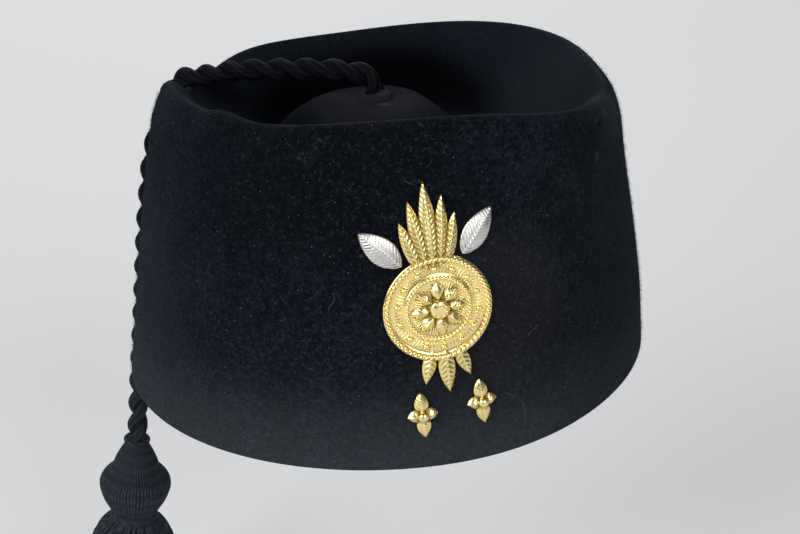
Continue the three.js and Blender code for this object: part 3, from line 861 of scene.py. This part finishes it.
def ring_tree():
    """Copies of an item round the third axis, each a little off its place, lean and size at random."""
    inputs = {
        "Geometry": "Geometry", "Item": "Object", "Count": "Int", "Radius": "Float", "Shift": "Float",
        "Stray": "Float", "Lean": "Float", "Smallest": "Float", "Largest": "Float", "Seed": "Int",
        "Material": "Material",
    }
    tree, given, put = new_group("ring", "GeometryNodeTree", inputs, {"Geometry": "Geometry"})
    index = tree.nodes.new("GeometryNodeInputIndex").outputs[0]
    shifted = math_node(tree, "ADD", index, given["Shift"])
    share = math_node(tree, "ADD", shifted, either_way(tree, given, "Stray"))
    angle = times(tree, math_node(tree, "DIVIDE", share, given["Count"]), math.tau)
    across = times(tree, math_node(tree, "COSINE", angle), given["Radius"])
    up = times(tree, math_node(tree, "SINE", angle), given["Radius"])
    place = add_node(tree, "ShaderNodeCombineXYZ", {"X": across, "Y": up}).outputs[0]
    points = add_node(tree, "GeometryNodePoints", {"Count": given["Count"], "Position": place})
    stand = add_node(tree, "ShaderNodeCombineXYZ", {"X": either_way(tree, given, "Lean"), "Z": angle})
    turn = add_node(tree, "FunctionNodeEulerToRotation", {0: stand.outputs[0]})
    finish_tree(tree, given, put, points.outputs[0], turn.outputs[0])
    return tree


def finish_tree(tree, given, put, points, rotation):
    """Puts the item on the points, sized at random, and makes real, finished copies of it."""
    item = add_node(tree, "GeometryNodeObjectInfo", {"Object": given["Item"]}, transform_space="ORIGINAL")
    size = random_number(tree, given, given["Smallest"], given["Largest"])
    sockets = {"Points": points, "Instance": item.outputs["Geometry"], "Rotation": rotation, "Scale": size}
    copies = add_node(tree, "GeometryNodeInstanceOnPoints", sockets)
    real = add_node(tree, "GeometryNodeRealizeInstances", {"Geometry": copies.outputs[0]})
    sockets = {"Geometry": real.outputs[0], "Material": given["Material"]}
    tree.links.new(add_node(tree, "GeometryNodeSetMaterial", sockets).outputs[0], put["Geometry"])


def grown(tree, host, item, material, **sizes):
    """A plain mesh of what the tree makes of a host mesh and an item mesh, which are then gone."""
    carrier = new_object("carrier", host)
    thing = new_object("thing", item)
    modifier = carrier.modifiers.new("grown", "NODES")
    modifier.node_group = tree
    values = {word.capitalize(): size for word, size in sizes.items()}
    values.update({"Item": thing, "Material": material})
    for socket in tree.interface.items_tree:
        if socket.in_out == "INPUT" and socket.name in values:
            modifier[socket.identifier] = values[socket.name]
    graph = bpy.context.evaluated_depsgraph_get()
    made = bpy.data.meshes.new_from_object(carrier.evaluated_get(graph), depsgraph=graph)
    carrier.modifiers.clear()
    for used in (carrier, thing):
        mesh = used.data
        bpy.data.objects.remove(used)
        bpy.data.meshes.remove(mesh)
    return made


def ring_of(item, material, **sizes):
    """Copies of the item in a ring, alike and evenly spaced but for what sizes says."""
    even = {"radius": 0.0, "shift": 0.0, "stray": 0.0, "lean": 0.0, "smallest": 1.0, "largest": 1.0}
    return grown(RING, bpy.data.meshes.new("none"), item, material, **{**even, "seed": 1, **sizes})


def strewn(host, item, material, **sizes):
    return grown(SCATTER, host, item, material, **sizes)


# The felt cap
def outline(shape, angle):
    sine, cosine = np.sin(angle), np.cos(angle)
    power = shape.squareness
    fullness = (np.abs(sine) ** power + np.abs(cosine) ** power) ** (-1 / power)
    drawn = shape.skew * np.sin(2 * angle)
    across = shape.x + (shape.half_width * fullness + drawn) * sine
    return np.stack([across, shape.y - (shape.half_length * fullness + drawn) * cosine], -1)


def rim_height(angle):
    tilt = RIM_LIFT["front"] * np.cos(angle) + RIM_LIFT["side"] * np.sin(angle)
    height = RIM_HEIGHT + tilt + RIM_LIFT["diagonal"] * np.sin(2 * angle)
    for dip in RIM_DIPS:
        past = angle - math.radians(dip.angle)
        off = np.arctan2(np.sin(past), np.cos(past))
        height = height - dip.depth * np.exp(-((off / math.radians(dip.spread)) ** 2))
    return height


def wall_point(angle, share):
    """Points on the outside of the wall, share of the way from the hem to the rim."""
    share = np.broadcast_to(share, angle.shape)
    outward = np.stack([np.sin(angle), -np.cos(angle)], -1)
    plan = (1 - share)[:, None] * outline(HEM, angle) + share[:, None] * outline(RIM, angle)
    swell = WALL_BULGE * np.sin(math.pi * share) + WALL_SWAY * np.sin(math.tau * share) * np.sin(angle)
    plan = plan + outward * swell[:, None]
    height = share * rim_height(angle)
    riding = np.maximum(0, 1 - height / HEM_RISE["fades_out_at"]) * np.maximum(0, np.sin(angle)) ** 2
    return np.column_stack([plan, height + HEM_RISE["height"] * riding])


def crown_point(angle, ring):
    plan = (1 - ring.rim - ring.pit) * MOUND_TOP[:2]
    plan = plan + ring.rim * outline(RIM, angle) + ring.pit * outline(PIT, angle) + (ring.x, 0)
    return np.column_stack([plan, ring.follows_rim * rim_height(angle) + ring.above])


def outward_normals(rings, middle):
    """Normals of a grid of points that runs from a middle outwards and down."""
    before = np.concatenate([np.broadcast_to(middle, rings[:1].shape), rings[:-1]])
    beyond = np.concatenate([rings[1:], rings[-1:]])
    normals = np.cross(beyond - before, np.roll(rings, -1, axis=1) - np.roll(rings, 1, axis=1))
    return normals / np.linalg.norm(normals, axis=-1, keepdims=True)


def felt_outside():
    """Rings of the outside of the felt, from just off the mound's top to the hem, worn a little uneven."""
    angles = round_ring(FELT_COLUMNS)
    knots = [np.tile(MOUND_TOP, (FELT_COLUMNS, 1))]
    knots += [crown_point(angles, ring) for ring in CROWN_RINGS]
    knots += [wall_point(angles, share) for share in WALL_RINGS]
    rings = np.array(along_spans(knots, CROWN_STEPS + WALL_STEPS))
    worn = np.zeros(rings.shape[:2])
    for dent in DENTS:
        off = np.linalg.norm(rings - (dent.x, dent.y, dent.z), axis=-1)
        worn -= dent.depth * np.exp(-((off / dent.reach) ** 2))
    return rings + outward_normals(rings, MOUND_TOP) * worn[..., None]


def felt_shell(rings):
    """The whole cap: the outside, the rounded cut of the hem, and the inside a felt's thickness under it."""
    normals = outward_normals(rings, MOUND_TOP)
    normals[-1, :, 2] = 0
    normals[-1] /= np.linalg.norm(normals[-1], axis=-1, keepdims=True)
    inside = rings - normals * FELT_THICKNESS
    across = inside[-1] - rings[-1]
    cut = [rings[-1] + across * ring.inwards - (0, 0, HEM_ROUND * ring.drop) for ring in HEM_CUT]
    under = MOUND_TOP - (0, 0, FELT_THICKNESS)
    mesh = closed_loft("felt_shell", MOUND_TOP, [*rings, *cut, *inside[::-1]], under)
    from_crest = np.arange(len(rings)) - FOLD_CREST
    # The worn ring along the fold's crest is worn pale and also carries painted sheen.
    for name, values in (("worn", np.exp(-((from_crest / WORN_AND_SHEEN_REACH) ** 2))), ("crown", from_crest < 0)):
        whole = np.zeros(len(mesh.vertices))
        whole[1 : 1 + rings.shape[0] * rings.shape[1]] = np.repeat(values, rings.shape[1])
        whole[0] = values[0]
        store(mesh, name, whole)
    return mesh


def open_band(name, rings):
    """The faces between rings, for strewing things on."""
    mesh = bpy.data.meshes.new(name)
    mesh.from_pydata(rings.reshape(-1, 3).tolist(), [], faces_between(*rings.shape[:2]))
    return mesh


def nap_fibre():
    """One fibre, standing on its root and tapered to a point."""
    corners = circle(NAP_FIBRE["radius"], 0, np.array(NAP_FIBRE["corners"]))
    tip = (NAP_FIBRE["bow"] * NAP_FIBRE["length"], 0, NAP_FIBRE["length"])
    mesh = bpy.data.meshes.new("fibre")
    mesh.from_pydata([*corners.tolist(), tip], [], [(0, 1, 3), (1, 2, 3), (2, 0, 3), (2, 1, 0)])
    return mesh


def lint_hair(hair):
    """A curled hair that lies on the wall."""
    along = np.linspace(0, 1, HAIR["points"])
    heading = np.radians(hair.heading + hair.curl * along + hair.bow * np.sin(math.pi * along))
    step = hair.length / len(along)
    angles = math.radians(hair.angle) + np.cumsum(np.cos(heading)) * step / HEM.half_length
    shares = hair.share + np.cumsum(np.sin(heading)) * step / RIM_HEIGHT
    lift = HAIR["lift"] + HAIR["arch"] * np.sin(math.pi * along)
    outward = np.stack([np.sin(angles), -np.cos(angles), np.zeros(len(along))], -1)
    line = wall_point(angles, shares) + outward * lift[:, None]
    return tube("hair", line, HAIR["radius"], HAIR["sides"])


# The cord and tassel
def cord_path(route):
    return evenly(smooth_line([np.array(point) for point in route], SPAN_STEPS["cord"]), PLY["step"])


def twisted_cord(path, at):
    """Two plies laid up round the path, each of twisted yarns, that part where they enter the crown."""
    across, up = frames_along(path)
    plies = []
    for ply in (0, 1):
        lay = math.tau * at / PLY["lay"] + math.pi * ply + PLY["phase"]
        parting = 1 + PLY_PARTING["share"] * np.exp(-at / PLY_PARTING["reach"])
        spoke = across * np.cos(lay)[:, None] + up * np.sin(lay)[:, None]
        line = path + spoke * (PLY["offset"] * parting)[:, None]
        turned = round_ring(PLY["sides"]) + math.tau * at[:, None] / PLY_YARNS["turn_length"]
        ridges = np.abs(np.sin(PLY_YARNS["count"] * turned / 2)) - PLY_YARNS["level"]
        radii = PLY["radius"] + PLY_YARNS["depth"] * ridges
        from_end = np.minimum(at, at[-1] - at)
        radii = radii * np.minimum(1, PLY_END["share"] + from_end / PLY_END["reach"])[:, None]
        plies.append(tube("ply", line, radii, PLY["sides"]))
    return merged("twisted_cord", plies)


def crown_knot(material):
    """A low seat of threads wound over the cord's root, from the middle out to the foot."""
    line = station_line(SEAT_LINE, SPAN_STEPS["seat"])
    thread = tube("thread", line, SEAT_THREAD["radius"], SEAT_THREAD["sides"])
    mesh = ring_of(thread, material, **SEAT_LAY)
    move_points(mesh, points_of(mesh) + MOUND_TOP)
    return mesh


def hung(mesh):
    """Carries a tassel piece, made straight down from the origin, to the cord's end."""
    lean = Vector((0, 0, -1)).rotation_difference(TASSEL_HANG).to_matrix()
    move_points(mesh, points_of(mesh) @ np.array(lean).T + TASSEL_TOP)
    return mesh


def station_line(stations, steps, share=1.0):
    """A smooth line down through the stations, with their radii times share."""
    knots = [np.array([station.radius * share, 0, -station.along]) for station in stations]
    return smooth_line(knots, steps)


def tassel_head(material):
    """Threads drawn over the head from the cord to the neck, and the binding wound round the neck."""
    line = np.array(station_line(HEAD_LINE, SPAN_STEPS["tassel"]))
    room = HEAD_THREADS["overlap"] * math.pi * line[:, 0] / HEAD_LAY["count"]
    radii = np.minimum(HEAD_THREADS["radius"], room)
    thread = tube("thread", line - (HEAD_THREADS["radius"], 0, 0), radii, HEAD_THREADS["sides"])
    threads = ring_of(thread, material, **HEAD_LAY)
    return hung(merged("tassel_head", [threads, head_core(), neck_binding(), collar()]))


def head_core():
    angles = -round_ring(HEAD_CORE["sides"])
    inset = HEAD_THREADS["radius"]
    rings = [circle(station.radius - inset, -station.along, angles) for station in HEAD_LINE[::-1]]
    along = np.linspace(0, HEAD_CORE["mapped_length"], len(rings))
    return closed_loft("core", (0, 0, -HEAD_LINE[-1].along), rings, (0, 0, 0), along)


def neck_binding():
    turns = np.linspace(0, NECK_BINDING["turns"], NECK_BINDING["turns"] * NECK_THREAD["steps_in_turn"])
    share = turns / NECK_BINDING["turns"]
    depth = NECK_BINDING["from"] + (NECK_BINDING["to"] - NECK_BINDING["from"]) * share
    radius = NECK_BINDING["radius"] + NECK_BINDING["swell"] * np.sin(math.pi * share)
    winding = circle(radius, -depth, math.tau * turns)
    return tube("binding", winding, NECK_THREAD["radius"], NECK_THREAD["sides"])


def collar():
    once_round = np.linspace(0, math.tau, COLLAR["steps"] + 1)
    line = circle(COLLAR["radius"], COLLAR["height"], once_round)
    return tube("collar", line, COLLAR["thread"], COLLAR["sides"])


def tassel_skirt(material):
    """Twisted strands in layers, each a little apart from the next in lean and length."""
    layers = []
    for layer in SKIRT_LAYERS:
        line, at = evenly(station_line(SKIRT_LINE, SPAN_STEPS["tassel"], layer.share), STRAND["step"])
        wave = STRAND_WAVE["height"] * np.sin(at / STRAND_WAVE["length"] + layer.seed)
        line = line + np.stack([wave, np.roll(wave, STRAND_WAVE["lag"]), np.zeros(len(at))], -1)
        turned = math.tau * at[:, None] / STRAND["turn_length"]
        ridges = np.sin(STRAND["plies"] * round_ring(STRAND["sides"]) + turned)
        radii = STRAND["radius"] * (1 + STRAND["ridge"] * ridges)
        strand = tube("strand", line, radii, STRAND["sides"])
        layers.append(ring_of(strand, material, count=layer.count, seed=layer.seed, **SKIRT_LAY))
    return hung(merged("tassel_skirt", layers))


# The badge
def leaf(size, veins=GILT_VEINS):
    """A veined leaf growing up from the boss's middle, turned from straight up, flat at its back."""
    form = LEAF_FORM
    side = np.linspace(1, -1, form["columns"])
    off = np.abs(side)
    rows = max(form["least_rows"], round(size.length / form["row_step"]))
    rings = []
    for row in range(1, rows):
        along = row / rows
        swell = math.sin(math.pi * along ** form["widest_at"]) ** form["fullness"]
        half = size.width / 2 * swell
        ridge = size.relief * (form["end_ridge"] + (1 - form["end_ridge"]) * swell)
        run = along * size.length - veins.rise * off * half
        vein = veins.depth * np.cos(math.tau * run / veins.spacing) * (1 - off) ** form["vein_out"]
        rounded = form["edge"] + (1 - form["edge"]) * (1 - off ** form["edge_curve"])
        rib = veins.midrib * np.exp(-((side / form["rib_width"]) ** 2))
        out = ridge * (rounded * (form["face"] + vein * off ** form["vein_in"]) + rib)
        top = np.stack([side * half, np.full_like(side, along * size.length), out], -1)
        back = np.array([[-half, along * size.length, 0], [half, along * size.length, 0]])
        rings.append(np.concatenate([top, back]))
    mesh = closed_loft("leaf", (0, 0, 0), rings, (0, size.length, 0))
    move_points(mesh, turned_in_plane(points_of(mesh) + (0, size.start, 0), size.turn))
    return mesh


def boss():
    line = smooth_line([np.array(station) for station in BOSS_LINE], SPAN_STEPS["boss"])
    angles = -round_ring(BOSS_SIDES)
    rings = [circle(radius, out, angles) for radius, out in line]
    return closed_loft("boss", (0, 0, 0), rings, (0, 0, line[-1][1]))


def raised(mesh, out, turn=0.0):
    """The mesh turned in its plane and lifted off the flat."""
    move_points(mesh, turned_in_plane(points_of(mesh), turn) + (0, 0, out))
    return mesh


def badge_rosette(material):
    """The round boss with its roped edges, pellets, rays and petals, and the fans of leaves behind it."""
    pieces = [boss(), *[leaf(size) for size in FAN_LEAVES]]
    for ring in LUMP_RINGS:
        lump = pebble(ring.name, ring.length, ring.width, ring.height, ring.sides)
        raised(lump, ring.lift, ring.turn)
        pieces.append(ring_of(lump, material, count=ring.count, radius=ring.radius, shift=ring.shift))
    petal = raised(leaf(PETAL, PETAL_VEINS), PETAL_LIFT)
    pieces.append(ring_of(petal, material, **PETAL_RING))
    return merged("badge_rosette", pieces)


def silver_leaf(side):
    mesh = leaf(SILVER_LEAF["size"]._replace(turn=side * SILVER_LEAF["size"].turn), SILVER_VEINS)
    move_points(mesh, points_of(mesh) + (side * SILVER_LEAF["across"], SILVER_LEAF["up"], 0))
    return mesh


def badge_stud(side):
    radius = STUD_BUTTON["radius"]
    button = pebble("button", 2 * radius, 2 * radius, radius, STUD_BUTTON["sides"], STUD_BUTTON["rows"])
    leaves = [leaf(size, PETAL_VEINS) for size in STUD_LEAVES]
    mesh = merged("stud", [*leaves, raised(button, radius)])
    move_points(mesh, points_of(mesh) + (side * STUD["across"], STUD["up"], 0))
    return mesh


def mark_hollows(meshes):
    """Stores how far each point lies under what is round it, from a coarse map of the badge's relief."""
    cell, margin = RELIEF_MAP["cell"], RELIEF_MAP["margin"]
    points = np.concatenate([points_of(mesh) for mesh in meshes])
    low = points[:, :2].min(0) - margin * cell
    cells = ((points[:, :2] - low) / cell).astype(int)
    relief = np.zeros(cells.max(0) + margin + 1)
    np.maximum.at(relief, tuple(cells.T), points[:, 2])
    reach = range(-RELIEF_MAP["reach"], RELIEF_MAP["reach"] + 1)
    soft = sum(np.roll(relief, (i, j), (0, 1)) for i in reach for j in reach) / len(reach) ** 2
    for mesh in meshes:
        points = points_of(mesh)
        places = tuple(((points[:, :2] - low) / cell).astype(int).T)
        under = (soft[places] - points[:, 2]) / HOLLOW["depth"] + HOLLOW["level"]
        store(mesh, "hollow", np.clip(under, 0, 1))


def bend_to_wall(mesh):
    """Carries a flat badge piece to its place on the wall, square to the felt."""
    step = 1e-3
    angle = math.radians(BADGE["angle"])
    share = BADGE["height"] / float(rim_height(angle))
    middle = wall_point(np.array([angle, angle + step, angle]), np.array([share, share, share + step]))
    across_per_angle = np.linalg.norm(middle[1] - middle[0]) / step
    up_per_share = np.linalg.norm(middle[2] - middle[0]) / step
    flat = points_of(mesh)
    leaned = turned_in_plane(flat, -BADGE["lean"]) * BADGE["scale"]
    angles = angle + leaned[:, 0] / across_per_angle
    shares = share + leaned[:, 1] / up_per_share
    place = wall_point(angles, shares)
    normals = np.cross(wall_point(angles + step, shares) - place, wall_point(angles, shares + step) - place)
    normals /= np.linalg.norm(normals, axis=1, keepdims=True)
    move_points(mesh, place + normals * (flat[:, 2:] + BADGE["seat"]))


# The studio
def studio():
    floor = bpy.data.meshes.new("floor")
    reach, low = FLOOR["half_size"], FLOOR["height"]
    corners = [(-reach, -reach, low), (reach, -reach, low), (reach, reach, low), (-reach, reach, low)]
    floor.from_pydata(corners, [], [(0, 1, 2, 3)])
    pale, tree, shader = new_material("pale_floor", {"Roughness": FLOOR["roughness"]})
    shade = noise(tree, object_place(tree), FLOOR["clouds"], detail=1)
    tree.links.new(blend(tree, shade, FLOOR_TONES["dull"], FLOOR_TONES["bright"]), shader["Base Color"])
    new_object("floor", floor, pale)
    world = bpy.data.worlds.new("studio")
    world.use_nodes = True
    background = world.node_tree.nodes["Background"].inputs
    background["Color"].default_value = AIR["colour"]
    background["Strength"].default_value = AIR["strength"]
    bpy.context.scene.world = world
    for box in SOFTBOXES:
        light = bpy.data.lights.new(box.name, "AREA")
        light.size = box.side
        light.energy = box.power
        lamp = new_object(box.name, light)
        lamp.location = box.place
        lamp.rotation_euler = aimed(box.place, box.aim).to_euler()
    bpy.context.scene.view_settings.view_transform = "Standard"


def aimed(place, aim):
    return (Vector(aim) - Vector(place)).to_track_quat("-Z", "Y")


def camera():
    view = bpy.data.cameras.new("camera")
    view.lens = CAMERA["lens"]
    holder = new_object("camera", view)
    holder.location = CAMERA["place"]
    holder.rotation_mode = "QUATERNION"
    roll = Quaternion((0, 0, 1), math.radians(CAMERA["roll"]))
    holder.rotation_quaternion = aimed(CAMERA["place"], CAMERA["aim"]) @ roll
    bpy.context.scene.camera = holder


def dress(name, mesh, material, slot, *nodes):
    """A finished piece on the part's one body, which hides the solids that it stands for. Its slot is not
    used.
    """
    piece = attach(new_object(name, mesh, material), "root")
    if nodes:
        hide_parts(*nodes)
    return piece


# The pieces, made and put in the frame
camera()
SCATTER = scatter_tree()
RING = ring_tree()
felt_fibres = felt_fibres_group()
twisted_yarn = twisted_yarn_group()
pressed_metal = pressed_metal_group()
black_felt = felt_material(felt_fibres)
felt_nap = nap_material(felt_fibres)
pale_lint = lint_material()
cord_silk = silk_material(twisted_yarn, CORD_SILK)
seat_silk = silk_material(twisted_yarn, SEAT_SILK)
tassel_silk = silk_material(twisted_yarn, TASSEL_SILK)
gilt = metal_material(pressed_metal, GILT)
silver = metal_material(pressed_metal, SILVER)

plies = twisted_cord(*cord_path((CORD_ROOT, *CORD_ROUTE)))
cord = dress("twisted_cord", plies, cord_silk, "silk", "tassel_cord")
head = dress("tassel_head", tassel_head(tassel_silk), tassel_silk, "silk", "tassel")
skirt = dress("tassel_skirt", tassel_skirt(tassel_silk), tassel_silk, "silk", "tassel")
dress("crown_seat", crown_knot(seat_silk), seat_silk, "silk", "crown_knot")

outside = felt_outside()
dress("felt_shell", felt_shell(outside), black_felt, "felt", "felt_body")
# The nap keeps off the worn top of the fold.
wall_rings, crown_rings = outside[FOLD_CREST + 2 :], outside[: FOLD_CREST - 1]
naps = {"wall_nap": (wall_rings, WALL_NAP), "crown_nap": (crown_rings, CROWN_NAP)}
for name, (rings, sizes) in naps.items():
    fibres = strewn(open_band("band", rings), nap_fibre(), felt_nap, **sizes)
    store(fibres, "crown", np.full(len(fibres.vertices), name == "crown_nap"))
    dress(name, fibres, felt_nap, "felt")
fleck = pebble("fleck", 2 * FLECK_WIDTH, FLECK_WIDTH, FLECK_WIDTH / 2, sides=5, rows=4)
flecks = strewn(open_band("band", wall_rings), fleck, pale_lint, **FLECKS)
lint = merged("felt_lint", [flecks, *[lint_hair(hair) for hair in HAIRS]])
dress("felt_lint", lint, pale_lint, "felt")

badge = {
    "badge_rosette": (badge_rosette(gilt), gilt, "gilt", "badge_plate"),
    "silver_leaf_left": (silver_leaf(-1), silver, "silver", "badge_leaf_left"),
    "silver_leaf_right": (silver_leaf(1), silver, "silver", "badge_leaf_right"),
    "gilt_stud_left": (badge_stud(-1), gilt, "gilt", "badge_stud_left"),
    "gilt_stud_right": (badge_stud(1), gilt, "gilt", "badge_stud_right"),
}
mark_hollows([mesh for mesh, *_ in badge.values()])
for name, (mesh, material, slot, node) in badge.items():
    bend_to_wall(mesh)
    dress(name, mesh, material, slot, node)

studio()
